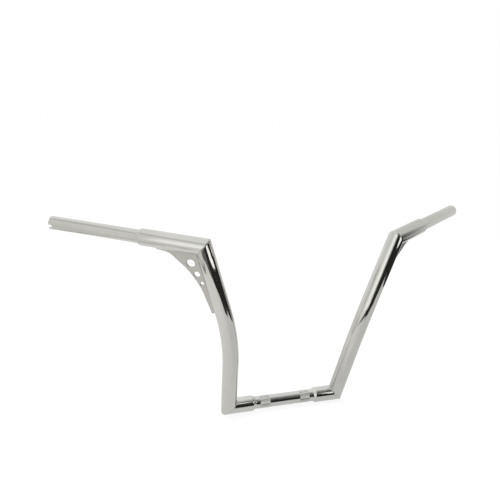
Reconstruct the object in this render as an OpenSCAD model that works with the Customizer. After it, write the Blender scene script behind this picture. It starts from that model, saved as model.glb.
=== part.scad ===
// Mitred ape hanger handlebar, welded up from fat steel tube and chromed.
// Frame: X runs across the motorcycle, Y back toward the rider, Z up along the upper uprights.
// The origin is the middle of the clamp section. Left and right are the rider's, so right is -X.

/* [Tube] */
// Outside diameter of the fat tube
fat_d = 31.75; // [30:0.05:38.1]
// Outside diameter of the grips and of the clamp section
grip_d = 25.4; // [22:0.1:28]
// Wall of every tube
wall = 3; // [2:0.1:4]
// Length of a swage, where fat tube is drawn down to grip diameter
swage_len = 9; // [6:0.5:16]
// Chamfer round the open end of each grip
end_chamfer = 0.6; // [0.2:0.1:1.2]

/* [Clamp section] */
// Distance between the axes of the two uprights at the clamp tube
foot_width = 241; // [210:1:300]
// Length of the slim section that the risers clamp
clamp_len = 127; // [110:1:140]
// Distance between the middles of the two knurled bands
knurl_spacing = 88.9; // [76:0.1:92]
// Length of a knurled band
knurl_len = 22; // [15:0.5:26]
// Height of the knurl's crests above the slim tube
knurl_height = 0.2; // [0.1:0.05:0.5]

/* [Uprights] */
// Length of an upright's lower part, from the clamp tube's axis to the bend's apex
lower_len = 178; // [160:1:260]
// Angle by which the lower part leans forward
lower_lean = 14; // [5:0.5:22]
// Angle by which the lower part leans outward
lower_splay = 5; // [0:0.5:12]
// Length of the upper part, from the bend's apex to the handle's axis
upper_len = 195; // [185:1:320]
// Angle by which the upper part leans outward
upper_splay = 18; // [10:0.5:28]
// Radius of the bend, along the tube's axis
bend_r = 390; // [150:5:420]
// Amount by which bending slims the tube's radius
bend_draw = 0.02; // [0.01:0.01:0.2]

/* [Handles] */
// Length of a handle, from the upright's axis to the open end
handle_len = 300; // [260:1:360]
// Length of a handle's fat part, from the upright's axis to the swage
handle_fat_len = 117; // [100:1:140]
// Angle by which a handle sweeps back
handle_sweep = 33; // [15:0.5:45]
// Angle by which a handle rises
handle_rise = 2; // [-4:0.5:8]

/* [Throttle slot] */
// Width of the slot in the right grip's open end
slot_w = 7; // [4:0.5:9]
// Depth of the slot from the open end
slot_len = 8; // [6:0.5:20]
// Angle of the slot from straight down, turned to the front
slot_clock = 70; // [0:5:180]

/* [Gussets] */
// Thickness of a gusset plate
gusset_t = 5; // [3:0.5:8]
// Reach of the plate down the upright, from the corner of the axes
gusset_down = 135; // [120:1:150]
// Reach of the plate along the handle, from the corner of the axes
gusset_along = 90; // [85:1:100]
// Height of the plate's lower toe above the upright
low_toe_h = 6.4; // [3:0.1:9]
// Height of the plate's upper toe above the handle
high_toe_h = 2.8; // [2:0.1:5]
// Distance of the lower knee from the corner, down the upright
low_knee_at = 59; // [50:1:70]
// Height of the lower knee above the upright
low_knee_h = 14; // [12:0.5:18]
// Distance of the upper knee from the corner, along the handle
high_knee_at = 65; // [55:1:72]
// Height of the upper knee above the handle
high_knee_h = 5.3; // [4:0.1:8]
// Radius of the free edge at the lower knee
low_knee_r = 130; // [60:5:150]
// Radius of the free edge at the upper knee
high_knee_r = 25; // [10:1:30]
// Number of round holes in the plate
hole_count = 3; // [1:1:3]
// Diameter of the largest hole
hole_d = 16; // [10:0.5:17]
// Amount by which each next hole is smaller
hole_step = 4; // [2:0.5:5]
// Metal between one hole's rim and the next
hole_web = 10; // [6:0.5:12]
// Distance of the largest hole from the corner, down the upright
hole_at = 28.5; // [26:0.5:32]
// Height of the largest hole's middle above the upright
hole_h = 17.5; // [14:0.5:19]
// Angle by which the row of holes closes on the upright
hole_row_angle = 12.7; // [8:0.1:15]

/* [Welds] */
// Width of the weld round each mitre
weld_w = 3; // [2:0.5:5]
// Height of that weld's crown above the tube
weld_crown = 0.25; // [0.1:0.05:0.6]
// Metal ground off the outer corner of each mitre
heel_grind = 1.6; // [1:0.1:2]
// Leg of the fillet welds beside each gusset plate
fillet_leg = 3.2; // [2:0.1:4]
// Hollow of the fillet welds, as the radius of their face
fillet_r = 6; // [4:0.5:12]

/* [Hidden] */
$fn = 96;

fat_r = fat_d / 2;
grip_r = grip_d / 2;
chrome_colour = [0.80, 0.80, 0.79];
weld_colour = [0.70, 0.70, 0.69];
// Parts that cut another run past it by this much
over = 1;
// Steps along a swage's curve
swage_steps = 8;
// The hollows of a gusset's free edge cut this far into the straight edges that they run into
blend_cut = 0.01;
// The heel's ground cap begins at this share of the way out to the mitre's tip
heel_share = 0.6;

function unit(v) = v / norm(v);
// Part of v square to the unit vector d, made a unit vector
function square_to(v, d) = unit(v - (v * d) * d);
function angle_between(a, b) = acos(a * b);

// Directions of the left side's tubes, away from the corner they start at
lower_dir = [sin(lower_splay),
             -sin(lower_lean) * cos(lower_splay),
             cos(lower_lean) * cos(lower_splay)];
upper_dir = [sin(upper_splay), 0, cos(upper_splay)];
down = -upper_dir;
handle_dir = [cos(handle_sweep) * cos(handle_rise),
              sin(handle_sweep) * cos(handle_rise),
              sin(handle_rise)];
inward = [-1, 0, 0];

// Corners of the left side's axes
foot = [foot_width / 2, 0, 0];
apex = foot + lower_len * lower_dir;
corner = apex + upper_len * upper_dir;

// The bend joins the lower and upper parts of an upright
bend_turn = angle_between(lower_dir, upper_dir);
bend_tangent = bend_r * tan(bend_turn / 2);
bend_start = apex - bend_tangent * lower_dir;
bend_end = apex + bend_tangent * upper_dir;
to_bend_centre = square_to(upper_dir, lower_dir);
bend_centre = bend_start + bend_r * to_bend_centre;

// A block that stands for the far side of a mitre
block = 4 * fat_d;

// Turns Z onto direction z, with X as near direction x as that allows
module orient(at, z, x) {
    ez = unit(z);
    ex = square_to(x, ez);
    ey = cross(ez, ex);
    multmatrix([[ex.x, ey.x, ez.x, at.x],
                [ex.y, ey.y, ez.y, at.y],
                [ex.z, ey.z, ez.z, at.z],
                [0, 0, 0, 1]])
        children();
}

// Round bar along direction d, from start to end, measured from p, with its seam toward side
module bar(p, d, r, start, end, side) {
    orient(p + start * d, d, side)
        cylinder(h = end - start, r = r);
}

// How far a mitred tube runs past the corner of the axes, at its heel
function heel_run(a, b, r) = r / tan(angle_between(a, b) / 2);

// The frame of a mitre at p, where tubes leave along a and b: X points into their angle,
// and Z across the mitre from the first tube's side to the second's
module at_mitre(p, a, b) {
    orient(p, b - a, a + b) children();
}

// In a mitre's frame, everything above height z
module above(z) {
    translate([-block / 2, -block / 2, z]) cube(block);
}

// In a mitre's frame, turns what stands along Z onto the second tube's axis
module along_tube(half_angle) {
    rotate([0, 90 - half_angle, 0]) children();
}

// In a mitre's frame, what belongs to the second tube's side, with its mirror image on the first's
module both_sides() {
    children();
    mirror([0, 0, 1]) children();
}

// In a mitre's frame, a bar of radius r on the second tube's axis, through the mitre
module through_bar(half_angle, r) {
    along_tube(half_angle)
        translate([0, 0, -fat_d]) cylinder(h = 2 * fat_d, r = r);
}

// In a mitre's frame, the second tube's half of the weld, out to radius r and solid inside
module half_weld(half_angle, r) {
    difference() {
        through_bar(half_angle, r);
        mirror([0, 0, 1]) above(0);
        above(weld_w / 2);
    }
}

// In a mitre's frame, the metal ground away from the outer corner of what stands crown proud
module heel_waste(half_angle, crown) {
    tip = fat_r / sin(half_angle);
    difference() {
        translate([-heel_share * tip - block, -block / 2, -block / 2]) cube(block);
        sphere(r = tip - heel_grind + crown);
    }
}

// Weld metal all round a mitre at p, as deep as the tube's wall
module mitre_weld(p, a, b) {
    half_angle = angle_between(a, b) / 2;
    at_mitre(p, a, b)
        difference() {
            both_sides()
                difference() {
                    half_weld(half_angle, fat_r + weld_crown);
                    through_bar(half_angle, fat_r - wall);
                }
            heel_waste(half_angle, weld_crown);
        }
}

// Cuts that a tube along a needs where it is mitred at p to a tube along b
module mitre_cut(p, a, b) {
    at_mitre(p, a, b) {
        above(-weld_w / 2);
        heel_waste(angle_between(a, b) / 2, 0);
    }
}

// Half outline of a swage from r0 at z0 to r1 at z1, as [radius, height] points
function swage(r0, z0, r1, z1) =
    [for (i = [0 : swage_steps])
        [r0 + (r1 - r0) * (1 - cos(180 * i / swage_steps)) / 2,
         z0 + (z1 - z0) * i / swage_steps]];
function reversed(list) = [for (i = [len(list) - 1 : -1 : 0]) list[i]];
function flipped(list) = [for (p = reversed(list)) [p[0], -p[1]]];

// Clamp tube, lying along Z: slim between the risers and fat at both ends
module clamp_tube_outline(inset) {
    slim = clamp_len / 2;
    end = foot_width / 2 + fat_d;
    half = concat(swage(grip_r - inset, slim, fat_r - inset, slim + swage_len),
                  [[fat_r - inset, end]]);
    polygon(concat(flipped(half), half, [[0, end], [0, -end]]));
}

module knurl_band() {
    bevel = 2 * knurl_height;
    root = grip_r - wall / 2;
    crest = grip_r + knurl_height;
    half = knurl_len / 2;
    rotate_extrude()
        polygon([[root, -half], [grip_r, -half], [crest, -half + bevel],
                 [crest, half - bevel], [grip_r, half], [root, half]]);
}

module clamp_tube() {
    color(chrome_colour)
    difference() {
        orient([0, 0, 0], [1, 0, 0], [0, 0, 1])
            union() {
                difference() {
                    rotate_extrude() clamp_tube_outline(0);
                    rotate_extrude() clamp_tube_outline(wall);
                }
                for (side = [-1, 1])
                    translate([0, 0, side * knurl_spacing / 2]) knurl_band();
            }
        mitre_cut(foot, inward, lower_dir);
        mirror([1, 0, 0]) mitre_cut(foot, inward, lower_dir);
    }
}

// An upright's path as solid bar: straight, bend, straight, with the straights lapping the bend
module upright_bar(r) {
    low_run = heel_run(inward, lower_dir, fat_r) + over;
    high_run = heel_run(down, handle_dir, fat_r) + over;
    bar(foot, lower_dir, r, -low_run, lower_len - bend_tangent + over, bend_start - bend_centre);
    orient(bend_centre, cross(-to_bend_centre, lower_dir), -to_bend_centre)
        rotate_extrude(angle = bend_turn)
            translate([bend_r, 0]) circle(r = r - bend_draw);
    bar(bend_end, upper_dir, r, -over, upper_len - bend_tangent + high_run, bend_end - bend_centre);
}

module upright() {
    color(chrome_colour)
    difference() {
        upright_bar(fat_r);
        upright_bar(fat_r - wall);
        mitre_cut(foot, lower_dir, inward);
        mitre_cut(corner, down, handle_dir);
    }
}

// Handle, lying along Z from the corner of the axes
module handle_outline(inset) {
    start = -heel_run(down, handle_dir, fat_r) - over;
    slim_at = handle_fat_len + swage_len;
    mouth = inset > 0
        ? [[grip_r - inset, handle_len + over], [0, handle_len + over]]
        : [[grip_r, handle_len - end_chamfer], [grip_r - end_chamfer, handle_len], [0, handle_len]];
    polygon(concat([[0, start - (inset > 0 ? over : 0)], [fat_r - inset, start - (inset > 0 ? over : 0)]],
                   swage(fat_r - inset, handle_fat_len, grip_r - inset, slim_at),
                   mouth));
}

module handle() {
    difference() {
        orient(corner, handle_dir, [0, 0, -1])
            difference() {
                rotate_extrude() handle_outline(0);
                rotate_extrude() handle_outline(wall);
            }
        mitre_cut(corner, handle_dir, down);
    }
}

// Slot through one wall at the open end, with a round bottom
module throttle_slot() {
    bottom = handle_len - slot_len + slot_w / 2;
    orient(corner, handle_dir, [0, 0, -1])
        rotate([0, 0, -slot_clock]) {
            translate([0, -slot_w / 2, bottom])
                cube([fat_r, slot_w, slot_len]);
            translate([0, 0, bottom])
                rotate([0, 90, 0]) cylinder(h = fat_r, d = slot_w);
        }
}

module handle_right() {
    color(chrome_colour)
    mirror([1, 0, 0])
        difference() {
            handle();
            throttle_slot();
        }
}

// The gusset's own frame: X down the upright, Y toward the handle, Z square to the plate
gusset_normal = unit(cross(down, handle_dir));
corner_angle = angle_between(down, handle_dir);
// Plate point at a distance along the handle and a height above the handle's axis
function off_handle(at, h) = at * [cos(corner_angle), sin(corner_angle)]
                             + h * [sin(corner_angle), -cos(corner_angle)];

low_toe = [gusset_down, fat_r + low_toe_h];
low_knee = [low_knee_at, fat_r + low_knee_h];
high_knee = off_handle(high_knee_at, fat_r + high_knee_h);
high_toe = off_handle(gusset_along, fat_r + high_toe_h);

// Distance from a knee to where its rounding of radius r begins, between directions u and w
function knee_run(u, w, r) = r / tan(angle_between(u, w) / 2);

// Hollow rounding of the free edge at knee, between the points before and after, to radius r
module knee_hollow(before, knee, after, r) {
    u = unit(before - knee);
    w = unit(after - knee);
    translate(knee + r / sin(angle_between(u, w) / 2) * unit(u + w))
        circle(r = r + blend_cut);
}
// The two points where that rounding begins and ends
function knee_ends(before, knee, after, r) =
    let (u = unit(before - knee), w = unit(after - knee))
    [knee + knee_run(u, w, r) * u, knee + knee_run(u, w, r) * w];

module gusset_outline() {
    difference() {
        polygon(concat([[0, 0], [gusset_down, 0], low_toe],
                       knee_ends(low_toe, low_knee, high_knee, low_knee_r),
                       knee_ends(low_knee, high_knee, high_toe, high_knee_r),
                       [high_toe, off_handle(gusset_along, 0)]));
        knee_hollow(low_toe, low_knee, high_knee, low_knee_r);
        knee_hollow(low_knee, high_knee, high_toe, high_knee_r);
    }
}

// Middle of hole i, counted from the largest
function hole_size(i) = hole_d - i * hole_step;
function hole_shift(i) = i == 0 ? 0
    : hole_shift(i - 1) + (hole_size(i - 1) + hole_size(i)) / 2 + hole_web;
function hole_middle(i) = [hole_at, fat_r + hole_h]
    + hole_shift(i) * [cos(hole_row_angle), -sin(hole_row_angle)];

module gusset() {
    color(chrome_colour)
    difference() {
        orient(corner, gusset_normal, down)
            difference() {
                translate([0, 0, -gusset_t / 2])
                    linear_extrude(gusset_t) gusset_outline();
                for (i = [0 : hole_count - 1])
                    translate(concat(hole_middle(i), -gusset_t))
                        cylinder(h = 2 * gusset_t, d = hole_size(i));
            }
        upright_bar(fat_r);
        bar(corner, handle_dir, fat_r, 0, gusset_along + over, down);
        corner_weld_body();
    }
}

// Outside of the weld round the upper mitre, without its bore
module corner_weld_body() {
    at_mitre(corner, down, handle_dir)
        both_sides() half_weld(corner_angle / 2, fat_r + weld_crown);
}

// Section of a fillet weld between a tube round the origin and the plate's face, run on into
// the tube and past both toes, where the tube and the hollow face trim it
module fillet_section() {
    face = gusset_t / 2;
    plate_toe = [sqrt(fat_r * fat_r - face * face) + fillet_leg, face];
    tube_angle = asin(face / fat_r) + fillet_leg / fat_r * 180 / PI;
    tube_toe = fat_r * [cos(tube_angle), sin(tube_angle)];
    chord = plate_toe - tube_toe;
    out = unit([-chord.y, chord.x]);
    rise = sqrt(fillet_r * fillet_r - chord * chord / 4);
    difference() {
        polygon([[fat_r / 2, face], plate_toe + [over, 0], tube_toe - over * unit(chord), tube_toe / 2]);
        translate((plate_toe + tube_toe) / 2 + rise * out) circle(r = fillet_r);
    }
}

// In the upper mitre's frame, a fillet weld of that length along the handle's side of the plate
module fillet_run(length) {
    difference() {
        along_tube(corner_angle / 2)
            linear_extrude(length) fillet_section();
        mirror([0, 0, 1]) above(0);
    }
}

module gusset_weld() {
    color(weld_colour)
    difference() {
        at_mitre(corner, down, handle_dir)
            for (face = [0, 1])
                mirror([0, face, 0]) {
                    fillet_run(gusset_along);
                    mirror([0, 0, 1]) fillet_run(gusset_down);
                }
        upright_bar(fat_r);
        bar(corner, handle_dir, fat_r, 0, gusset_along + over, down);
        corner_weld_body();
    }
}

module corner_weld() {
    color(weld_colour) mitre_weld(corner, down, handle_dir);
}

module foot_weld() {
    color(weld_colour) mitre_weld(foot, inward, lower_dir);
}

clamp_tube();
mirror([1, 0, 0]) upright();  // upright_right
upright();  // upright_left
handle_right();
color(chrome_colour) handle();  // handle_left
mirror([1, 0, 0]) foot_weld();  // foot_weld_right
foot_weld();  // foot_weld_left
mirror([1, 0, 0]) corner_weld();  // corner_weld_right
corner_weld();  // corner_weld_left
mirror([1, 0, 0]) gusset();  // gusset_right
gusset();  // gusset_left
mirror([1, 0, 0]) gusset_weld();  // gusset_weld_right
gusset_weld();  // gusset_weld_left
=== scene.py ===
from math import acos, atan2, cos, pi, radians, sin, sqrt, tan

import bmesh
import bpy
from mathutils import Matrix, Vector


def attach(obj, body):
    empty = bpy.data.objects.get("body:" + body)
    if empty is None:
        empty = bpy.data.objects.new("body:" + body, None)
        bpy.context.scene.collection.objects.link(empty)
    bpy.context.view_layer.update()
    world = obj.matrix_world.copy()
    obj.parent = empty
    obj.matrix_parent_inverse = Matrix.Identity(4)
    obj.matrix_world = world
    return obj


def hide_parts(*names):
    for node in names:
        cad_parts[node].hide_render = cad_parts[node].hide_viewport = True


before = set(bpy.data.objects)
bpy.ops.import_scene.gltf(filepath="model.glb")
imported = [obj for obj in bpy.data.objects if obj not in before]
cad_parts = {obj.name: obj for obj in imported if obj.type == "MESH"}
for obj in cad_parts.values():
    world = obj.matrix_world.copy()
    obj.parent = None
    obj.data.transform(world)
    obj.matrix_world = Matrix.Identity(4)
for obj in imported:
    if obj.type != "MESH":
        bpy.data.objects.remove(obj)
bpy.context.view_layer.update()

# Bottom tube
# The cross tube that the risers clamp: 1.25 inch steel tube, swaged down to one inch between
# the risers and left fat at both ends, where it is mitred to the side tubes. Chrome plated.
fat_radius = 0.015875
slim_radius = 0.0127
wall = 0.003
swage_length = 0.009
clamp_length = 0.127
foot_spacing = 0.241
weld_width = 0.003
heel_grind = 0.0016
heel_share = 0.6
grind_loops = 10
grind_loop_spacing = 0.0005
facets_round = 96
merge_distance = 1e-7
tolerance = 1e-6

chrome_colour = (0.62, 0.615, 0.595)
patch_scale = 26.0
patch_contrast = 0.03
polish_spread = (0.7, 1.5)
swirl_scale = 90.0
swirl_height = 0.0004
drawn_scale = 2.6
drawn_stretch = 4
drawn_height = 0.0006

lower_splay = radians(5)
lower_lean = radians(14)
foot = Vector((foot_spacing / 2, 0, 0))
lower_direction = Vector((sin(lower_splay),
                          -sin(lower_lean) * cos(lower_splay),
                          cos(lower_lean) * cos(lower_splay)))
toward_middle = Vector((-1, 0, 0))


def standing(at, z, x):
    """Matrix that stands a shape on direction z at a point, with its X as near x as that allows."""
    z = z.normalized()
    x = (x - x.dot(z) * z).normalized()
    turned = Matrix((x, z.cross(x), z)).transposed()
    return Matrix.Translation(at) @ turned.to_4x4()


def swage(radius_from, height_from, radius_to, height_to, steps=16):
    """Outline of a swage as (radius, height) points, leaving both tubes smoothly."""
    return [(radius_from + (radius_to - radius_from) * (1 - cos(pi * step / steps)) / 2,
             height_from + (height_to - height_from) * step / steps)
            for step in range(steps + 1)]


def turned_tube(outline, thickness):
    """Tube along Z, from the (radius, height) outline of its outside, open at both ends."""
    bm = bmesh.new()
    points = [bm.verts.new((radius, 0, height)) for radius, height in outline]
    for below, above in zip(points, points[1:]):
        bm.edges.new((below, above))
    bmesh.ops.spin(bm, geom=bm.verts[:] + bm.edges[:], cent=(0, 0, 0), axis=(0, 0, 1),
                   angle=2 * pi, steps=facets_round, use_merge=True)
    bmesh.ops.remove_doubles(bm, verts=bm.verts[:], dist=merge_distance)
    mark_round(bm)
    give_wall(bm, thickness)
    return bm


def mark_round(bm):
    """Notes on each point where it lies round the tube, for the fine lines that drawing leaves."""
    around = bm.verts.layers.float_vector.new("around")
    for vert in bm.verts:
        vert[around] = Vector((vert.co.x, vert.co.y, 0)).normalized()


def give_wall(bm, thickness):
    """Thickens an open tube inward, with its faces pointing out of the metal."""
    bmesh.ops.recalc_face_normals(bm, faces=bm.faces[:])
    bmesh.ops.solidify(bm, geom=bm.faces[:], thickness=thickness)


def across_mitre(along, other):
    """Direction square to the mitre of two tubes, from the first one's side to the other's."""
    return (other - along).normalized()


def mitre_radius(along, other, radius):
    """How far the outer corner of a mitre lies from where the axes meet."""
    return radius / sin(acos(along.dot(other)) / 2)


def cut_off(bm, at, direction):
    """Cuts away what lies past a plane, and closes the tube's wall there."""
    cut = bmesh.ops.bisect_plane(bm, geom=bm.verts[:] + bm.edges[:] + bm.faces[:], dist=merge_distance,
                                 plane_co=at, plane_no=direction, clear_outer=True)
    rims = [edge for edge in cut["geom_cut"] if isinstance(edge, bmesh.types.BMEdge)]
    bmesh.ops.bridge_loops(bm, edges=rims)


def grind_heel(bm, at, along, other, crown=0.0):
    """Rounds the outer corner of a mitre, as the grinder leaves it."""
    outward = -(along + other).normalized()
    tip = mitre_radius(along, other, fat_radius)
    ground = tip - heel_grind + crown
    for vert in bm.verts:
        reach = vert.co - at
        if reach.dot(outward) > heel_share * tip and reach.length > ground:
            vert.co = at + reach.normalized() * ground


def mitre_end(bm, at, along, other):
    """Mitres a tube's end, with close loops near the cut so that its heel can be ground."""
    square = across_mitre(along, other)
    for step in range(grind_loops, 0, -1):
        off_mitre = weld_width / 2 + step * grind_loop_spacing
        bmesh.ops.bisect_plane(bm, geom=bm.verts[:] + bm.edges[:] + bm.faces[:], dist=merge_distance,
                               plane_co=at - square * off_mitre, plane_no=square)
    cut_off(bm, at - square * weld_width / 2, square)
    grind_heel(bm, at, along, other)


def chrome_plate(name, colour, polish, swirl, drawn=0.0):
    """Chrome on steel: a clear mirror, a little duller in patches, over a hand-polished surface.
    On tube, the fine lines that drawing left along it still show."""
    finish = bpy.data.materials.new(name)
    finish.use_nodes = True
    nodes = finish.node_tree.nodes
    links = finish.node_tree.links
    shader = nodes["Principled BSDF"]
    shader.inputs["Metallic"].default_value = 1.0
    place = nodes.new("ShaderNodeTexCoord")

    patches = nodes.new("ShaderNodeTexNoise")
    patches.inputs["Scale"].default_value = patch_scale
    patches.inputs["Detail"].default_value = 4.0
    links.new(place.outputs["Object"], patches.inputs["Vector"])
    tone = nodes.new("ShaderNodeValToRGB")
    tone.color_ramp.elements[0].position = 0.3
    tone.color_ramp.elements[0].color = (*[part * (1 - patch_contrast) for part in colour], 1)
    tone.color_ramp.elements[1].position = 0.7
    tone.color_ramp.elements[1].color = (*[part * (1 + patch_contrast) for part in colour], 1)
    links.new(patches.outputs["Fac"], tone.inputs["Fac"])
    links.new(tone.outputs["Color"], shader.inputs["Base Color"])

    dullness = nodes.new("ShaderNodeMapRange")
    dullness.inputs["To Min"].default_value = polish * polish_spread[0]
    dullness.inputs["To Max"].default_value = polish * polish_spread[1]
    links.new(patches.outputs["Fac"], dullness.inputs["Value"])
    links.new(dullness.outputs["Result"], shader.inputs["Roughness"])

    hand = nodes.new("ShaderNodeTexNoise")
    hand.inputs["Scale"].default_value = swirl_scale
    hand.inputs["Detail"].default_value = 2.0
    links.new(place.outputs["Object"], hand.inputs["Vector"])
    surface = nodes.new("ShaderNodeBump")
    surface.inputs["Strength"].default_value = swirl
    surface.inputs["Distance"].default_value = swirl_height
    links.new(hand.outputs["Fac"], surface.inputs["Height"])
    links.new(surface.outputs["Normal"], shader.inputs["Normal"])
    if drawn:
        around = nodes.new("ShaderNodeAttribute")
        around.attribute_name = "around"
        stretched = nodes.new("ShaderNodeVectorMath")
        stretched.operation = "MULTIPLY_ADD"
        stretched.inputs[1].default_value = (drawn_stretch, drawn_stretch, drawn_stretch)
        links.new(around.outputs["Vector"], stretched.inputs[0])
        links.new(place.outputs["Object"], stretched.inputs[2])
        lines = nodes.new("ShaderNodeTexNoise")
        lines.inputs["Scale"].default_value = drawn_scale
        lines.inputs["Detail"].default_value = 5.0
        links.new(stretched.outputs["Vector"], lines.inputs["Vector"])
        ridges = nodes.new("ShaderNodeBump")
        ridges.inputs["Strength"].default_value = drawn
        ridges.inputs["Distance"].default_value = drawn_height
        links.new(lines.outputs["Fac"], ridges.inputs["Height"])
        links.new(ridges.outputs["Normal"], surface.inputs["Normal"])
    return finish


def finish_piece(bm, name, finish, slot, *nodes, crease=radians(38)):
    """Makes the object, shades it smooth between its creases, and sets it on the frame."""
    bm.normal_update()
    for face in bm.faces:
        face.smooth = True
    for edge in bm.edges:
        edge.smooth = edge.is_manifold and edge.calc_face_angle() < crease
    mesh = bpy.data.meshes.new(name)
    bm.to_mesh(mesh)
    bm.free()
    mesh.materials.append(finish)
    piece = bpy.data.objects.new(name, mesh)
    bpy.context.collection.objects.link(piece)
    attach(piece, "root")
    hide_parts(*nodes)
    return piece


tube_chrome = chrome_plate("tube_chrome", chrome_colour, polish=0.05, swirl=0.04, drawn=0.12)

slim_end = clamp_length / 2
tube_end = foot_spacing / 2 + 2 * fat_radius
rising = swage(slim_radius, slim_end, fat_radius, slim_end + swage_length)
falling = [(radius, -height) for radius, height in reversed(rising)]
bottom_tube = turned_tube([(fat_radius, -tube_end), *falling, *rising, (fat_radius, tube_end)], wall)
bottom_tube.transform(standing(Vector(), Vector((1, 0, 0)), Vector((0, 0, 1))))
mitre_end(bottom_tube, foot, toward_middle, lower_direction)
foot_right = Vector((-foot.x, foot.y, foot.z))
lower_direction_right = Vector((-lower_direction.x, lower_direction.y, lower_direction.z))
mitre_end(bottom_tube, foot_right, -toward_middle, lower_direction_right)
finish_piece(bottom_tube, "bottom_tube", tube_chrome, "chrome", "clamp_tube")

# Knurled bands
# Two bands of diamond knurl rolled into the slim part of the bottom tube, 3.5 inches apart,
# where the risers grip it. The points of the knurl are plated over and a little worn.
knurl_spacing = 0.0889
knurl_length = 0.022
knurl_height = 0.0002
knurl_let_in = 0.0005
knurl_rows = 36
knurl_facets = 160


def knurl_band(middle):
    """Band of diamonds round the X axis, each a low pyramid between crossed grooves."""
    bm = bmesh.new()
    pitch = knurl_length / knurl_rows
    root = slim_radius - knurl_let_in
    row_heights = [row * pitch - knurl_length / 2 for row in range(knurl_rows + 1)]
    loop = [bm.verts.new((middle + height, 0, slim_radius)) for height in row_heights]
    loop += [bm.verts.new((middle + side * knurl_length / 2, 0, root)) for side in (1, -1)]
    for start, end in zip(loop, loop[1:] + loop[:1]):
        bm.edges.new((start, end))
    bmesh.ops.spin(bm, geom=bm.verts[:] + bm.edges[:], cent=(0, 0, 0), axis=(1, 0, 0),
                   angle=2 * pi, steps=knurl_facets, use_merge=True)
    bmesh.ops.remove_doubles(bm, verts=bm.verts[:], dist=merge_distance)
    bmesh.ops.recalc_face_normals(bm, faces=bm.faces[:])

    valleys = set()
    for vert in bm.verts:
        radius = Vector((0, vert.co.y, vert.co.z))
        if radius.length < slim_radius - tolerance:
            continue
        row = round((vert.co.x - middle + knurl_length / 2) / pitch)
        facet = round(atan2(vert.co.y, vert.co.z) / (2 * pi) * knurl_facets)
        if 0 < row < knurl_rows and (row + facet) % 2 == 0:
            vert.co += radius.normalized() * knurl_height
        else:
            valleys.add(vert)
    for face in bm.faces[:]:
        low = [vert for vert in face.verts if vert in valleys]
        if len(low) == 2 and len(face.verts) == 4 and low[1] not in [
                edge.other_vert(low[0]) for edge in low[0].link_edges]:
            bmesh.utils.face_split(face, low[0], low[1])
    return bm


knurl_chrome = chrome_plate("knurl_chrome", chrome_colour, polish=0.2, swirl=0.1)
for side, name in ((-1, "knurl_right"), (1, "knurl_left")):
    finish_piece(knurl_band(side * knurl_spacing / 2), name, knurl_chrome, "chrome",
                 crease=radians(8))

# Side tubes
# The tall uprights: fat steel tube with one long bend, leaning forward and outward up to the
# bend and then standing up, mitred at both ends to the tubes that they meet. Chrome plated.
lower_length = 0.178
upper_length = 0.195
bend_radius = 0.390
bend_steps = 24
upper_splay = radians(18)
handle_sweep = radians(33)
handle_rise = radians(2)

upper_direction = Vector((sin(upper_splay), 0, cos(upper_splay)))
handle_direction = Vector((cos(handle_sweep) * cos(handle_rise),
                           sin(handle_sweep) * cos(handle_rise),
                           sin(handle_rise)))
apex = foot + lower_length * lower_direction
corner = apex + upper_length * upper_direction
bend_turn = acos(lower_direction.dot(upper_direction))
bend_tangent = bend_radius * tan(bend_turn / 2)
bend_start = apex - bend_tangent * lower_direction
bend_axis = lower_direction.cross(upper_direction).normalized()
bend_middle = bend_start + bend_radius * bend_axis.cross(lower_direction)


def run_on(bm, rim, shift):
    """Extrudes a tube's open rim straight on, and returns the new rim."""
    grown = bmesh.ops.extrude_edge_only(bm, edges=rim)["geom"]
    ends = [part for part in grown if isinstance(part, bmesh.types.BMVert)]
    bmesh.ops.translate(bm, vec=shift, verts=ends)
    return [part for part in grown if isinstance(part, bmesh.types.BMEdge)
            and part.verts[0] in ends and part.verts[1] in ends]


def side_tube():
    """The left side tube, bent and mitred."""
    bm = bmesh.new()
    bmesh.ops.create_circle(bm, segments=facets_round, radius=fat_radius)
    mark_round(bm)
    start = foot - 2 * fat_radius * lower_direction
    bm.transform(standing(start, lower_direction, bend_middle - bend_start))
    rim = run_on(bm, bm.edges[:], bend_start - start)
    bend = bmesh.ops.spin(bm, geom=rim + list({vert for edge in rim for vert in edge.verts}),
                          cent=bend_middle, axis=bend_axis, angle=bend_turn, steps=bend_steps)
    rim = [part for part in bend["geom_last"] if isinstance(part, bmesh.types.BMEdge)]
    run_on(bm, rim, upper_direction * (upper_length - bend_tangent + 2 * fat_radius))
    bmesh.ops.remove_doubles(bm, verts=bm.verts[:], dist=merge_distance)
    give_wall(bm, wall)
    mitre_end(bm, foot, lower_direction, toward_middle)
    mitre_end(bm, corner, -upper_direction, handle_direction)
    return bm


def mirrored(bm):
    """The rider's right side is the left one's mirror image."""
    bmesh.ops.scale(bm, vec=(-1, 1, 1), verts=bm.verts[:])
    bmesh.ops.reverse_faces(bm, faces=bm.faces[:])
    return bm


finish_piece(side_tube(), "side_tube_left", tube_chrome, "chrome", "upright_left")
finish_piece(mirrored(side_tube()), "side_tube_right", tube_chrome, "chrome", "upright_right")

# Handles
# Fat tube mitred to the top of each side tube and swept back, swaged down to one inch for the
# grip. The mouth is open, and the right one has a slot that keys the throttle.
handle_length = 0.300
handle_fat_length = 0.117
mouth_round = 0.001
mouth_round_steps = 3
slot_width = 0.007
slot_depth = 0.008
slot_turn = radians(70)
slot_facets = 48
cutter_off_axis = 0.002
sharp_edge = radians(60)
handle_frame = standing(corner, handle_direction, Vector((0, 0, -1)))


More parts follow.
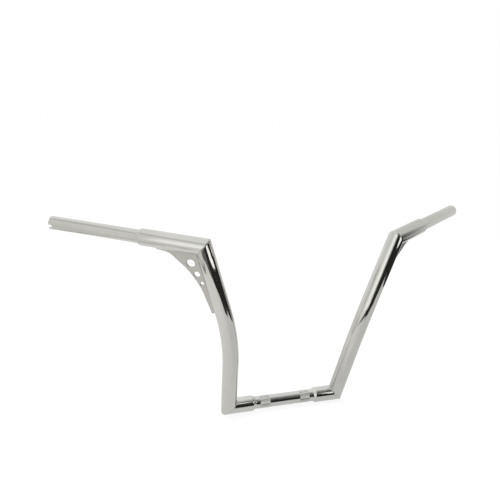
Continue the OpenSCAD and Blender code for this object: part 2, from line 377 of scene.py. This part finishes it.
def handle_tube():
    """The left handle tube, turned along its own axis, then stood at the corner and mitred."""
    outline = [(fat_radius, -2 * fat_radius),
               *swage(fat_radius, handle_fat_length, slim_radius, handle_fat_length + swage_length),
               (slim_radius, handle_length)]
    bm = turned_tube(outline, wall)
    lips = [edge for edge in bm.edges
            if all(vert.co.z > handle_length - tolerance for vert in edge.verts)
            and edge.calc_face_angle(0) > sharp_edge]
    bmesh.ops.bevel(bm, geom=lips, offset=mouth_round, offset_type="OFFSET",
                    segments=mouth_round_steps, profile=0.5, affect="EDGES", material=-1)
    bm.transform(handle_frame)
    mitre_end(bm, corner, handle_direction, -upper_direction)
    return bm


def throttle_cutter():
    """What the end mill takes out of the right handle's mouth: a slot with a round bottom."""
    bm = bmesh.new()
    bmesh.ops.create_cone(bm, cap_ends=True, segments=slot_facets, radius1=slot_width / 2,
                          radius2=slot_width / 2, depth=fat_radius,
                          matrix=Matrix.Rotation(pi / 2, 4, "Y"))
    far = [vert for vert in bm.verts if vert.co.z > tolerance]
    bmesh.ops.translate(bm, vec=(0, 0, slot_depth), verts=far)
    bmesh.ops.translate(bm, vec=(fat_radius / 2 + cutter_off_axis, 0,
                                 handle_length - slot_depth + slot_width / 2), verts=bm.verts[:])
    bm.transform(handle_frame @ Matrix.Rotation(-slot_turn, 4, "Z"))
    return mirrored(bm)


finish_piece(handle_tube(), "handle_tube_left", tube_chrome, "chrome", "handle_left")
handle_right = finish_piece(mirrored(handle_tube()), "handle_tube_right", tube_chrome, "chrome",
                            "handle_right")

cutter_mesh = bpy.data.meshes.new("throttle_cutter")
cutter_bm = throttle_cutter()
cutter_bm.to_mesh(cutter_mesh)
cutter_bm.free()
cutter = bpy.data.objects.new("throttle_cutter", cutter_mesh)
bpy.context.collection.objects.link(cutter)
milling = handle_right.modifiers.new("throttle_slot", "BOOLEAN")
milling.operation = "DIFFERENCE"
milling.solver = "EXACT"
milling.object = cutter
milled = bpy.data.meshes.new_from_object(
    handle_right.evaluated_get(bpy.context.evaluated_depsgraph_get()))
handle_right.modifiers.clear()
handle_right.data = milled
bpy.data.objects.remove(cutter)

# Welds round the mitres
# Each mitre is welded right round, ground flush and chromed with the rest, so only a softened
# crease shows where the tubes meet.
weld_crown = 0.0002
ring_loops = 5
ring_passes = 20
weld_colour = (0.56, 0.555, 0.54)


def mitre_ring(at, along, other):
    """Weld metal round one mitre: half of it made on the second tube's axis, then mirrored."""
    square = across_mitre(along, other)
    bm = bmesh.new()
    bmesh.ops.create_circle(bm, segments=facets_round, radius=fat_radius)
    start = at - 2 * fat_radius * other
    bm.transform(standing(start, other, along))
    run_on(bm, bm.edges[:], 4 * fat_radius * other)
    give_wall(bm, wall)
    for step in range(1, ring_loops):
        bmesh.ops.bisect_plane(bm, geom=bm.verts[:] + bm.edges[:] + bm.faces[:], dist=merge_distance,
                               plane_co=at + square * weld_width * step / (2 * ring_loops),
                               plane_no=square)
    for edge_at, direction in ((at, -square), (at + square * weld_width / 2, square)):
        bmesh.ops.bisect_plane(bm, geom=bm.verts[:] + bm.edges[:] + bm.faces[:], dist=merge_distance,
                               plane_co=edge_at, plane_no=direction, clear_outer=True)
    for vert in bm.verts:
        reach = vert.co - at
        outward = reach - reach.dot(other) * other
        if outward.length > fat_radius - wall / 2:
            share = reach.dot(square) / (weld_width / 2)
            rise = outward.normalized() * weld_crown * (1 + cos(pi * share)) / 2
            # Slid along the tube as it rises, a loop stays level and the halves still meet
            vert.co += rise - rise.dot(square) / other.dot(square) * other
    half = bm.verts[:] + bm.edges[:] + bm.faces[:]
    bmesh.ops.mirror(bm, geom=half, matrix=standing(at, square, along + other).inverted(),
                     merge_dist=tolerance, axis="Z")
    bmesh.ops.remove_doubles(bm, verts=bm.verts[:], dist=merge_distance)
    inside = [vert for vert in bm.verts if not vert.is_boundary]
    # Smoothing softens the crease, and lets the crown down about level with the tubes
    for _ in range(ring_passes):
        bmesh.ops.smooth_vert(bm, verts=inside, factor=0.5,
                              use_axis_x=True, use_axis_y=True, use_axis_z=True)
    for face_side in (1, -1):
        rims = [edge for edge in bm.edges if edge.is_boundary
                and (edge.verts[0].co - at).dot(square) * face_side > 0]
        bmesh.ops.bridge_loops(bm, edges=rims)
    bmesh.ops.recalc_face_normals(bm, faces=bm.faces[:])
    grind_heel(bm, at, along, other, weld_crown)
    return bm


weld_chrome = chrome_plate("weld_chrome", weld_colour, polish=0.09, swirl=0.25)
finish_piece(mitre_ring(foot, toward_middle, lower_direction), "foot_ring_left",
             weld_chrome, "weld_chrome", "foot_weld_left")
finish_piece(mirrored(mitre_ring(foot, toward_middle, lower_direction)), "foot_ring_right",
             weld_chrome, "weld_chrome", "foot_weld_right")
finish_piece(mitre_ring(corner, -upper_direction, handle_direction), "corner_ring_left",
             weld_chrome, "weld_chrome", "corner_weld_left")
finish_piece(mirrored(mitre_ring(corner, -upper_direction, handle_direction)), "corner_ring_right",
             weld_chrome, "weld_chrome", "corner_weld_right")

# Gusset plates
# A 5 mm steel plate stiffens each top corner, with three round holes that shrink down the
# upright. Cut from flat plate, edges broken, let a little into the tubes' welds and chromed.
plate_thickness = 0.005
plate_let_in = 0.0015
plate_down = 0.135
plate_along = 0.090
low_toe_height = 0.0064
high_toe_height = 0.0028
low_knee_at = 0.059
low_knee_height = 0.014
low_knee_radius = 0.130
high_knee_at = 0.065
high_knee_height = 0.0053
high_knee_radius = 0.025
hole_at = 0.0285
hole_height = 0.0175
hole_diameters = (0.016, 0.012, 0.008)
hole_web = 0.010
hole_row_turn = radians(12.7)
hole_facets = 64
knee_steps = 16
plate_edge_break = 0.0004
edge_break_steps = 3
plate_crease = radians(12)
plate_colour = (0.60, 0.585, 0.56)

corner_turn = acos((-upper_direction).dot(handle_direction))
plate_normal = (-upper_direction).cross(handle_direction).normalized()
plate_frame = standing(corner, plate_normal, -upper_direction)


def off_handle(at, height):
    """Point of the plate at a distance along the handle and a height above its axis."""
    return Vector((at * cos(corner_turn) + height * sin(corner_turn),
                   at * sin(corner_turn) - height * cos(corner_turn), 0))


def gusset_plate():
    """The left plate, drawn flat, filled between its edge and holes, thickened and stood up."""
    bm = bmesh.new()
    let_in = fat_radius - plate_let_in
    inner_corner = let_in / tan(corner_turn / 2)
    low_knee = Vector((low_knee_at, fat_radius + low_knee_height, 0))
    high_knee = off_handle(high_knee_at, fat_radius + high_knee_height)
    bm.faces.new([bm.verts.new(point) for point in (
        Vector((inner_corner, let_in, 0)),
        Vector((plate_down, let_in, 0)),
        Vector((plate_down, fat_radius + low_toe_height, 0)),
        low_knee,
        high_knee,
        off_handle(plate_along, fat_radius + high_toe_height),
        off_handle(plate_along, let_in))])
    for knee, radius in ((low_knee, low_knee_radius), (high_knee, high_knee_radius)):
        point = min(bm.verts, key=lambda vert: (vert.co - knee).length)
        one, other = [edge.other_vert(point).co - point.co for edge in point.link_edges]
        bmesh.ops.bevel(bm, geom=[point], offset=radius / tan(one.angle(other) / 2),
                        offset_type="OFFSET", segments=knee_steps, profile=0.5,
                        affect="VERTICES", material=-1)
    bmesh.ops.delete(bm, geom=bm.faces[:], context="FACES_ONLY")
    reach = 0.0
    for index, diameter in enumerate(hole_diameters):
        if index:
            reach += (hole_diameters[index - 1] + diameter) / 2 + hole_web
        middle = Vector((hole_at + reach * cos(hole_row_turn),
                         fat_radius + hole_height - reach * sin(hole_row_turn), 0))
        bmesh.ops.create_circle(bm, segments=hole_facets, radius=diameter / 2,
                                matrix=Matrix.Translation(middle))
    bmesh.ops.triangle_fill(bm, use_beauty=True, use_dissolve=False, edges=bm.edges[:])
    thick = bmesh.ops.extrude_face_region(bm, geom=bm.faces[:])
    raised = [part for part in thick["geom"] if isinstance(part, bmesh.types.BMVert)]
    bmesh.ops.translate(bm, vec=(0, 0, plate_thickness), verts=raised)
    bmesh.ops.translate(bm, vec=(0, 0, -plate_thickness / 2), verts=bm.verts[:])
    bmesh.ops.recalc_face_normals(bm, faces=bm.faces[:])
    rims = [edge for edge in bm.edges
            if edge.calc_face_angle(0) > sharp_edge
            and abs(edge.verts[0].co.z - edge.verts[1].co.z) < tolerance]
    bmesh.ops.bevel(bm, geom=rims, offset=plate_edge_break, offset_type="OFFSET",
                    segments=edge_break_steps, profile=0.5, affect="EDGES", material=-1)
    bm.transform(plate_frame)
    return bm


plate_chrome = chrome_plate("plate_chrome", plate_colour, polish=0.50, swirl=0.12)
finish_piece(gusset_plate(), "gusset_plate_left", plate_chrome, "chrome", "gusset_left",
             crease=plate_crease)
finish_piece(mirrored(gusset_plate()), "gusset_plate_right", plate_chrome, "chrome",
             "gusset_right", crease=plate_crease)

# Welds beside the gussets
# A fillet weld runs along both faces of each plate, from the toes into the corner. It is left
# as welded, with fine ripples, and plated with the rest.
fillet_leg = 0.0032
fillet_hollow = 0.006
ripple_pitch = 0.0016
ripple_height = 0.00007
ripple_steps = 4
fillet_taper = 0.003
fillet_toe_share = 0.1
fillet_steps = 8
fillet_let_in = 0.001
fillet_root = 0.0005


def fillet_section():
    """Points across a fillet weld: X away from the tube's axis in the plate, Y off the plate."""
    face = plate_thickness / 2
    plate_toe = Vector((sqrt(fat_radius ** 2 - face ** 2) + fillet_leg, face, 0))
    turn = atan2(face, sqrt(fat_radius ** 2 - face ** 2)) + fillet_leg / fat_radius
    tube_toe = Vector((fat_radius * cos(turn), fat_radius * sin(turn), 0))
    chord = plate_toe - tube_toe
    out = Vector((-chord.y, chord.x, 0)).normalized()
    if out.dot(Vector((1, 1, 0))) < 0:
        out = -out
    middle = (plate_toe + tube_toe) / 2 + sqrt(fillet_hollow ** 2 - chord.length_squared / 4) * out
    first = atan2(plate_toe.y - middle.y, plate_toe.x - middle.x)
    last = atan2(tube_toe.y - middle.y, tube_toe.x - middle.x)
    if last - first > pi:
        last -= 2 * pi
    if first - last > pi:
        last += 2 * pi
    bearings = [first + (last - first) * step / fillet_steps for step in range(fillet_steps + 1)]
    face_points = [middle + fillet_hollow * Vector((cos(angle), sin(angle), 0))
                   for angle in bearings]
    return face_points + [tube_toe - Vector((fillet_let_in, fillet_let_in, 0)),
                          plate_toe - Vector((2 * fillet_let_in, fillet_let_in, 0))]


def fillet_run(axis_direction, in_plate, off_plate, length):
    """One rippled run of weld along a tube, tapered at its toe. Its caller cuts it off in the corner's
    mitre.
    """
    bm = bmesh.new()
    section = [bm.verts.new(point) for point in fillet_section()]
    for start, end in zip(section, section[1:] + section[:1]):
        bm.edges.new((start, end))
    count = int(length / ripple_pitch * ripple_steps)
    bmesh.ops.spin(bm, geom=bm.verts[:] + bm.edges[:], cent=(0, 0, 0), axis=(0, 0, 1),
                   dvec=(0, 0, length / count), angle=0, steps=count)
    root = Vector((fat_radius - fillet_root, plate_thickness / 2 - fillet_root))
    for vert in bm.verts:
        along = vert.co.z
        off_root = Vector((vert.co.x - root.x, vert.co.y - root.y))
        swell = 1 + ripple_height / fillet_leg * cos(2 * pi * along / ripple_pitch)
        left = (length - along) / fillet_taper
        if left < 1:
            swell *= sqrt(max(1 - (1 - left) ** 2, fillet_toe_share ** 2))
        vert.co.x = root.x + off_root.x * swell
        vert.co.y = root.y + off_root.y * swell
    ends = [edge for edge in bm.edges if edge.is_boundary]
    bmesh.ops.holes_fill(bm, edges=ends, sides=0)
    turned = Matrix((in_plate, off_plate, axis_direction)).transposed()
    bm.transform(Matrix.Translation(corner) @ turned.to_4x4())
    return bm


def gusset_fillets():
    """Both faces' welds along the left handle and upright."""
    bm = bmesh.new()
    down = -upper_direction
    for off_plate in (plate_normal, -plate_normal):
        for along, other, length in ((handle_direction, down, plate_along),
                                     (down, handle_direction, plate_down)):
            in_plate = (other - other.dot(along) * along).normalized()
            run = fillet_run(along, in_plate, off_plate, length)
            square = across_mitre(along, other)
            cut = bmesh.ops.bisect_plane(run, geom=run.verts[:] + run.edges[:] + run.faces[:],
                                         dist=merge_distance, plane_co=corner, plane_no=square,
                                         clear_outer=True)
            rim = [part for part in cut["geom_cut"] if isinstance(part, bmesh.types.BMEdge)]
            bmesh.ops.holes_fill(run, edges=rim, sides=0)
            bmesh.ops.recalc_face_normals(run, faces=run.faces[:])
            holder = bpy.data.meshes.new("fillet_run")
            run.to_mesh(holder)
            run.free()
            bm.from_mesh(holder)
            bpy.data.meshes.remove(holder)
    return bm


fillet_chrome = chrome_plate("fillet_chrome", weld_colour, polish=0.30, swirl=0.15)
finish_piece(gusset_fillets(), "gusset_fillets_left", fillet_chrome, "weld_chrome",
             "gusset_weld_left")
finish_piece(mirrored(gusset_fillets()), "gusset_fillets_right", fillet_chrome, "weld_chrome",
             "gusset_weld_right")

# Light table
# The bar stands on a white sheet in a white room. The camera sees sheet and room as plain
# white, and the sheet keeps the bar's soft shadow. In reflections the sheet carries painted
# light: a little brighter at its left and dimmer to the right.
floor_height = -0.0168
room = 8.0
sheet_bright_end = -0.45
sheet_dim_end = 0.15
# Painted light in reflections: the sheet's tone falls from lit at its left to shaded at its right
sheet_painted_lit_tone = (0.93, 0.92, 0.895)
sheet_painted_shade_tone = (0.70, 0.70, 0.69)
sheet_strength = 1.015
sheet_share = 0.86
paper_tone = (0.92, 0.92, 0.92)


def stage_object(bm, name, finish, only_reflected=True):
    """Puts a floor, card or wall in the studio."""
    mesh = bpy.data.meshes.new(name)
    bm.to_mesh(mesh)
    bm.free()
    mesh.materials.append(finish)
    thing = bpy.data.objects.new(name, mesh)
    bpy.context.collection.objects.link(thing)
    if only_reflected:
        thing.visible_camera = False
        thing.visible_diffuse = False
        thing.visible_transmission = False
        thing.visible_shadow = False
    return thing


def flat_card(name, finish, low, high, height, only_reflected=True):
    """A level card between two corners."""
    bm = bmesh.new()
    bmesh.ops.create_grid(bm, x_segments=1, y_segments=1, size=0.5)
    bmesh.ops.scale(bm, vec=(high[0] - low[0], high[1] - low[1], 1), verts=bm.verts[:])
    bmesh.ops.translate(bm, verts=bm.verts[:],
                        vec=((low[0] + high[0]) / 2, (low[1] + high[1]) / 2, height))
    return stage_object(bm, name, finish, only_reflected)


def bare_material(name):
    """A new material with only its output, and its nodes and links."""
    finish = bpy.data.materials.new(name)
    finish.use_nodes = True
    finish.node_tree.nodes.remove(finish.node_tree.nodes["Principled BSDF"])
    return finish, finish.node_tree.nodes, finish.node_tree.links


def seen_directly(nodes, links):
    """Two outputs: 1 for rays from the camera, in reflections and through glass, and 0 for
    light rays. The second is 1 for reflections alone."""
    rays = nodes.new("ShaderNodeLightPath")
    total = rays.outputs["Is Camera Ray"]
    for kind in ("Is Glossy Ray", "Is Transmission Ray"):
        either = nodes.new("ShaderNodeMath")
        either.operation = "MAXIMUM"
        links.new(total, either.inputs[0])
        links.new(rays.outputs[kind], either.inputs[1])
        total = either.outputs["Value"]
    return total, rays.outputs["Is Glossy Ray"]


sheet, nodes, links = bare_material("white_sheet")
seen, mirrored_ray = seen_directly(nodes, links)
place = nodes.new("ShaderNodeTexCoord")
parts = nodes.new("ShaderNodeSeparateXYZ")
links.new(place.outputs["Object"], parts.inputs["Vector"])
side = nodes.new("ShaderNodeMapRange")
side.interpolation_type = "SMOOTHSTEP"
side.inputs["From Min"].default_value = sheet_bright_end
side.inputs["From Max"].default_value = sheet_dim_end
links.new(parts.outputs["X"], side.inputs["Value"])
# Painted light falloff across the sheet, shown only in reflections; the camera sees plain white
painted_light_falloff = nodes.new("ShaderNodeMix")
painted_light_falloff.data_type = "RGBA"
painted_light_falloff.inputs["A"].default_value = (*sheet_painted_lit_tone, 1)
painted_light_falloff.inputs["B"].default_value = (*sheet_painted_shade_tone, 1)
links.new(side.outputs["Result"], painted_light_falloff.inputs["Factor"])
tone = nodes.new("ShaderNodeMix")
tone.data_type = "RGBA"
tone.inputs["A"].default_value = (1, 1, 1, 1)
links.new(painted_light_falloff.outputs["Result"], tone.inputs["B"])
links.new(mirrored_ray, tone.inputs["Factor"])
shown = nodes.new("ShaderNodeEmission")
shown.inputs["Strength"].default_value = sheet_strength
links.new(tone.outputs["Result"], shown.inputs["Color"])
share = nodes.new("ShaderNodeMath")
share.operation = "MULTIPLY"
share.inputs[1].default_value = sheet_share
links.new(seen, share.inputs[0])
paper = nodes.new("ShaderNodeBsdfDiffuse")
paper.inputs["Color"].default_value = (*paper_tone, 1)
blend = nodes.new("ShaderNodeMixShader")
links.new(share.outputs["Value"], blend.inputs["Fac"])
links.new(paper.outputs["BSDF"], blend.inputs[1])
links.new(shown.outputs["Emission"], blend.inputs[2])
links.new(blend.outputs["Shader"], nodes["Material Output"].inputs["Surface"])
table = flat_card("floor", sheet, (-room, -room), (room, room), floor_height,
                  only_reflected=False)
table.visible_glossy = False

# Reflected cards
# What the chrome mirrors: the sheet, open before the clamp section as if the table ended there,
# a dark hall in front that gives the black stripes, pale walls at the left, and small glowing
# cards cut so that they paint highlights on the side tubes.
board_place = 0.72
board_front = -0.70
board_back = 0.20
board_height = 0.18
board_floor_back = 0.22
board_edge_back = 0.40
hall_front = -0.70
hall_left = -0.30
opening_front = -1.05
opening = ((-0.11, -0.09), (0.15, -0.09), (0.68, opening_front), (0.12, opening_front))
lower_sheet = -0.20
lower_sheet_left = -0.5
lower_sheet_right = 1.2
lower_sheet_back = -0.05
corner_level = floor_height + 0.0003
hall_level = floor_height + 0.0004
edge_level = floor_height + 0.0006
wall_distance = 2.4
wall_rib_turn = 4
wall_steps = 40
wall_warmth = 0.97
light_facing = (0.766, 0.643)


def even_card(name, colour):
    """A card of one even tone."""
    finish, nodes, links = bare_material(name)
    glow = nodes.new("ShaderNodeEmission")
    glow.inputs["Color"].default_value = (*colour, 1)
    links.new(glow.outputs["Emission"], nodes["Material Output"].inputs["Surface"])
    return finish


def soft_step(nodes, links, value, start, end):
    """Rises smoothly from 0 to 1 as the value goes from start to end."""
    step = nodes.new("ShaderNodeMapRange")
    step.interpolation_type = "SMOOTHSTEP"
    step.inputs["From Min"].default_value = start
    step.inputs["From Max"].default_value = end
    links.new(value, step.inputs["Value"])
    return step.outputs["Result"]


def math_step(nodes, links, operation, first, second=None):
    """One sum on one or two values, each an output or a number."""
    step = nodes.new("ShaderNodeMath")
    step.operation = operation
    for socket, value in zip(step.inputs, (first, second)):
        if isinstance(value, (int, float)):
            socket.default_value = value
        elif value is not None:
            links.new(value, socket)
    return step.outputs["Value"]


def soft_wall(name, bearings, tilts, soft, tones, distance=wall_distance):
    """Curved card round the bar. Bearings run clockwise from the rider's side, in degrees, tilts
    up from level, and tones gives the card's brightness at some tilts. Its edges fade over the
    degrees in soft: at the first and last bearing, then at the lowest and highest tilt."""
    finish, nodes, links = bare_material(name)
    place = nodes.new("ShaderNodeTexCoord")
    parts = nodes.new("ShaderNodeSeparateXYZ")
    links.new(place.outputs["Object"], parts.inputs["Vector"])
    bearing = math_step(nodes, links, "ARCTAN2", parts.outputs["X"], parts.outputs["Y"])
    bearing = math_step(nodes, links, "MODULO",
                        math_step(nodes, links, "ADD", bearing, 2 * pi), 2 * pi)
    level = math_step(nodes, links, "DIVIDE", parts.outputs["Z"], distance)
    tilt = math_step(nodes, links, "ARCSINE", level)
    cover = 1.0
    for value, (start, end), soft_start, soft_end in ((bearing, bearings, soft[0], soft[1]),
                                                      (tilt, tilts, soft[2], soft[3])):
        if soft_start:
            rise = soft_step(nodes, links, value, radians(start), radians(start + soft_start))
            cover = math_step(nodes, links, "MULTIPLY", cover, rise)
        if soft_end:
            fall = soft_step(nodes, links, value, radians(end), radians(end - soft_end))
            cover = math_step(nodes, links, "MULTIPLY", cover, fall)
    shade = nodes.new("ShaderNodeValToRGB")
    across = nodes.new("ShaderNodeMapRange")
    across.inputs["From Max"].default_value = pi / 2
    links.new(tilt, across.inputs["Value"])
    links.new(across.outputs["Result"], shade.inputs["Fac"])
    for index, (at, tone) in enumerate(tones):
        if index < 2:
            stop = shade.color_ramp.elements[index]
            stop.position = at / 90
        else:
            stop = shade.color_ramp.elements.new(at / 90)
        stop.color = (tone, tone, tone * wall_warmth, 1)
    glow = nodes.new("ShaderNodeEmission")
    links.new(shade.outputs["Color"], glow.inputs["Color"])
    clear = nodes.new("ShaderNodeBsdfTransparent")
    blend = nodes.new("ShaderNodeMixShader")
    links.new(cover, blend.inputs["Fac"])
    links.new(clear.outputs["BSDF"], blend.inputs[1])
    links.new(glow.outputs["Emission"], blend.inputs[2])
    links.new(blend.outputs["Shader"], nodes["Material Output"].inputs["Surface"])

    bm = bmesh.new()
    rib = [bm.verts.new((0, distance * cos(radians(angle)), distance * sin(radians(angle))))
           for angle in range(tilts[0], tilts[1] + 1, wall_rib_turn)]
    for below, above in zip(rib, rib[1:]):
        bm.edges.new((below, above))
    bmesh.ops.rotate(bm, verts=bm.verts[:], cent=(0, 0, 0),
                     matrix=Matrix.Rotation(-radians(bearings[0]), 3, "Z"))
    bmesh.ops.spin(bm, geom=bm.verts[:] + bm.edges[:], cent=(0, 0, 0), axis=(0, 0, 1),
                   angle=-radians(bearings[1] - bearings[0]), steps=wall_steps)
    return stage_object(bm, name, finish)


def cut_card(name, finish, *outlines):
    """A card inside its first outline of points, with the other outlines cut out of it."""
    bm = bmesh.new()
    for outline in outlines:
        points = [bm.verts.new(point) for point in outline]
        for start, end in zip(points, points[1:] + points[:1]):
            bm.edges.new((start, end))
    bmesh.ops.triangle_fill(bm, use_beauty=True, use_dissolve=False, edges=bm.edges[:])
    return stage_object(bm, name, finish)


def upright_card(name, finish, start, end, bottom, top):
    """A standing card between two points of the floor."""
    return cut_card(name, finish, ((*start, bottom), (*end, bottom), (*end, top), (*start, top)))


def at_height(points, height):
    """The points of a floor plan at one height."""
    return [(*point, height) for point in points]


def opening_side(near, far):
    """Where a side of the opening crosses the hall's front, to a whole millimetre."""
    share = (hall_front - near[1]) / (far[1] - near[1])
    return round(near[0] + share * (far[0] - near[0]), 3)


def highlight_card(name, finish, at, outline):
    """A glowing card near a side tube, cut so that its reflection paints a highlight of the same
    outline on the tube, drawn as (along, height) points on a plane that faces it.
    """
    cut_card(name, finish, [(at[0] + light_facing[0] * along, at[1] + light_facing[1] * along, height)
                            for along, height in outline])


black_card = even_card("black_card", (0.028, 0.027, 0.026))
upright_card("low_board", black_card, (board_place, board_front), (board_place, board_back),
             floor_height, floor_height + board_height)
cut_card("mirrored_sheet", sheet,
         at_height(((-room, -room), (room, -room), (room, room), (-room, room)), floor_height),
         at_height(opening, floor_height))
cut_card("hall_floor", black_card, at_height((
    (hall_left, -room), (room, -room), (room, hall_front),
    (opening_side(opening[1], opening[2]), hall_front), opening[2], opening[3],
    (opening_side(opening[0], opening[3]), hall_front), (hall_left, hall_front)), hall_level))
flat_card("lower_sheet", sheet, (lower_sheet_left, opening_front),
          (lower_sheet_right, lower_sheet_back), lower_sheet)
upright_card("table_leg_cloth", black_card, (lower_sheet_left, opening_front),
             (lower_sheet_right, opening_front), lower_sheet, floor_height)
flat_card("board_floor", black_card, (board_place, hall_front), (room, board_floor_back),
          hall_level)
flat_card("board_floor_edge", even_card("board_floor_edge", (0.50, 0.50, 0.48)),
          (board_place, board_floor_back), (room, board_edge_back), hall_level)
cut_card("dark_corner", even_card("dark_corner", (0.16, 0.155, 0.15)), at_height((
    (-0.64, -0.28), (-0.62, -0.28), (-0.50, -0.48), (-0.37, -0.575), (-0.25, -0.64),
    (-0.10, -0.70), (-0.20, -1.20), (-0.64, -1.20)), corner_level))
soft_wall("hall", bearings=(77, 212), tilts=(0, 80), soft=(12, 30, 0, 0),
          tones=((0, 0.015), (12, 0.018), (25, 0.05), (36, 0.09), (47, 0.15), (56, 0.28),
                 (66, 0.58), (78, 0.85)))
soft_wall("right_wall", bearings=(28, 95), tilts=(0, 52), soft=(10, 16, 0, 10),
          tones=((0, 0.76), (60, 0.76)), distance=2.5)
soft_wall("front_light", bearings=(95, 152.5), tilts=(15, 39), soft=(8, 1, 3, 6),
          tones=((0, 1.2), (60, 1.2)), distance=2.3)
soft_wall("bright_wall", bearings=(196, 244), tilts=(0, 36), soft=(12, 6, 0, 12),
          tones=((0, 1.3), (30, 1.2)), distance=2.2)
soft_wall("left_wall", bearings=(239, 318), tilts=(0, 40), soft=(4, 16, 0, 8),
          tones=((0, 0.86), (60, 0.86)), distance=2.3)
soft_wall("left_ledge", bearings=(215, 312), tilts=(38, 62), soft=(10, 14, 8, 8),
          tones=((40, 0.72), (60, 0.72)), distance=2.1)
flat_card("sheet_edge", even_card("sheet_edge", (0.40, 0.39, 0.37)),
          (-0.600, -0.28), (-0.565, 0.60), edge_level)
flat_card("left_floor", even_card("left_floor", (0.80, 0.79, 0.77)),
          (-3.0, -0.45), (-0.600, 2.0), edge_level)
# Painted highlights: glowing cards cut to the outline of the white slivers they draw on the side tubes
painted_highlight = even_card("painted_highlight", (1.4, 1.4, 1.36))
highlight_card("small_light_right", painted_highlight, (0.013, -0.290), (
    (-0.105, 0.340), (-0.112, 0.262), (-0.085, 0.250), (-0.040, 0.251), (0.020, 0.262),
    (0.100, 0.277), (0.118, 0.287), (0.060, 0.306), (0.022, 0.314), (0.025, 0.340)))
highlight_card("small_light_left", painted_highlight, (0.254, -0.137), (
    (-0.045, 0.350), (-0.020, 0.338), (-0.015, 0.318), (0.000, 0.310), (0.012, 0.311),
    (0.045, 0.320), (0.035, 0.332), (0.000, 0.352)))

# Lights
# A wide soft box overhead and an even white world. The world is white to the camera and in
# reflections, so the page behind the bar is white and the chrome mirrors it.
world_light = 0.97
soft_box_size = (1.4, 1.0)
soft_box_watts = 30
soft_box_place = Vector((-0.4, 0.5, 1.8))
soft_box_aim = Vector((0, 0, 0.1))

world = bpy.data.worlds.new("white_room")
bpy.context.scene.world = world
world.use_nodes = True
nodes = world.node_tree.nodes
links = world.node_tree.links
seen, _ = seen_directly(nodes, links)
level = nodes.new("ShaderNodeMapRange")
level.inputs["To Min"].default_value = world_light
level.inputs["To Max"].default_value = 1.0
links.new(seen, level.inputs["Value"])
sky = nodes["Background"]
sky.inputs["Color"].default_value = (1, 1, 1, 1)
links.new(level.outputs["Result"], sky.inputs["Strength"])

soft_box = bpy.data.lights.new("soft_box", "AREA")
soft_box.shape = "RECTANGLE"
soft_box.size = soft_box_size[0]
soft_box.size_y = soft_box_size[1]
soft_box.energy = soft_box_watts
soft_box_object = bpy.data.objects.new("soft_box", soft_box)
soft_box_object.location = soft_box_place
soft_box_object.rotation_euler = (soft_box_aim - soft_box_place).to_track_quat("-Z", "Y").to_euler()
soft_box_object.visible_glossy = False
bpy.context.collection.objects.link(soft_box_object)

# Camera
# It stands low in front of the bar, a little to the rider's right, as the photo was taken.
photo_pixels = 500
focal_pixels = 600
origin_pixel = (283.358, 398.760)
camera_azimuth = radians(19.803)
camera_height_angle = radians(16.855)
camera_roll = radians(3.182)
camera_distance = 1.26793
sensor_width = 36

ahead = Vector((sin(camera_azimuth) * cos(camera_height_angle),
                cos(camera_azimuth) * cos(camera_height_angle),
                -sin(camera_height_angle)))
level_right = Vector((cos(camera_azimuth), -sin(camera_azimuth), 0))
level_up = level_right.cross(ahead)
picture_right = cos(camera_roll) * level_right + sin(camera_roll) * level_up
picture_up = -sin(camera_roll) * level_right + cos(camera_roll) * level_up
per_pixel = camera_distance / focal_pixels
off_right = (origin_pixel[0] - photo_pixels / 2) * per_pixel
off_up = -(origin_pixel[1] - photo_pixels / 2) * per_pixel
camera_place = -(off_right * picture_right + off_up * picture_up + camera_distance * ahead)

lens = bpy.data.cameras.new("photo_camera")
lens.sensor_fit = "HORIZONTAL"
lens.sensor_width = sensor_width
lens.lens = sensor_width * focal_pixels / photo_pixels
camera = bpy.data.objects.new("photo_camera", lens)
turned = Matrix((picture_right, picture_up, -ahead)).transposed().to_4x4()
camera.matrix_world = Matrix.Translation(camera_place) @ turned
bpy.context.collection.objects.link(camera)
bpy.context.scene.camera = camera
bpy.context.scene.view_settings.view_transform = "Standard"
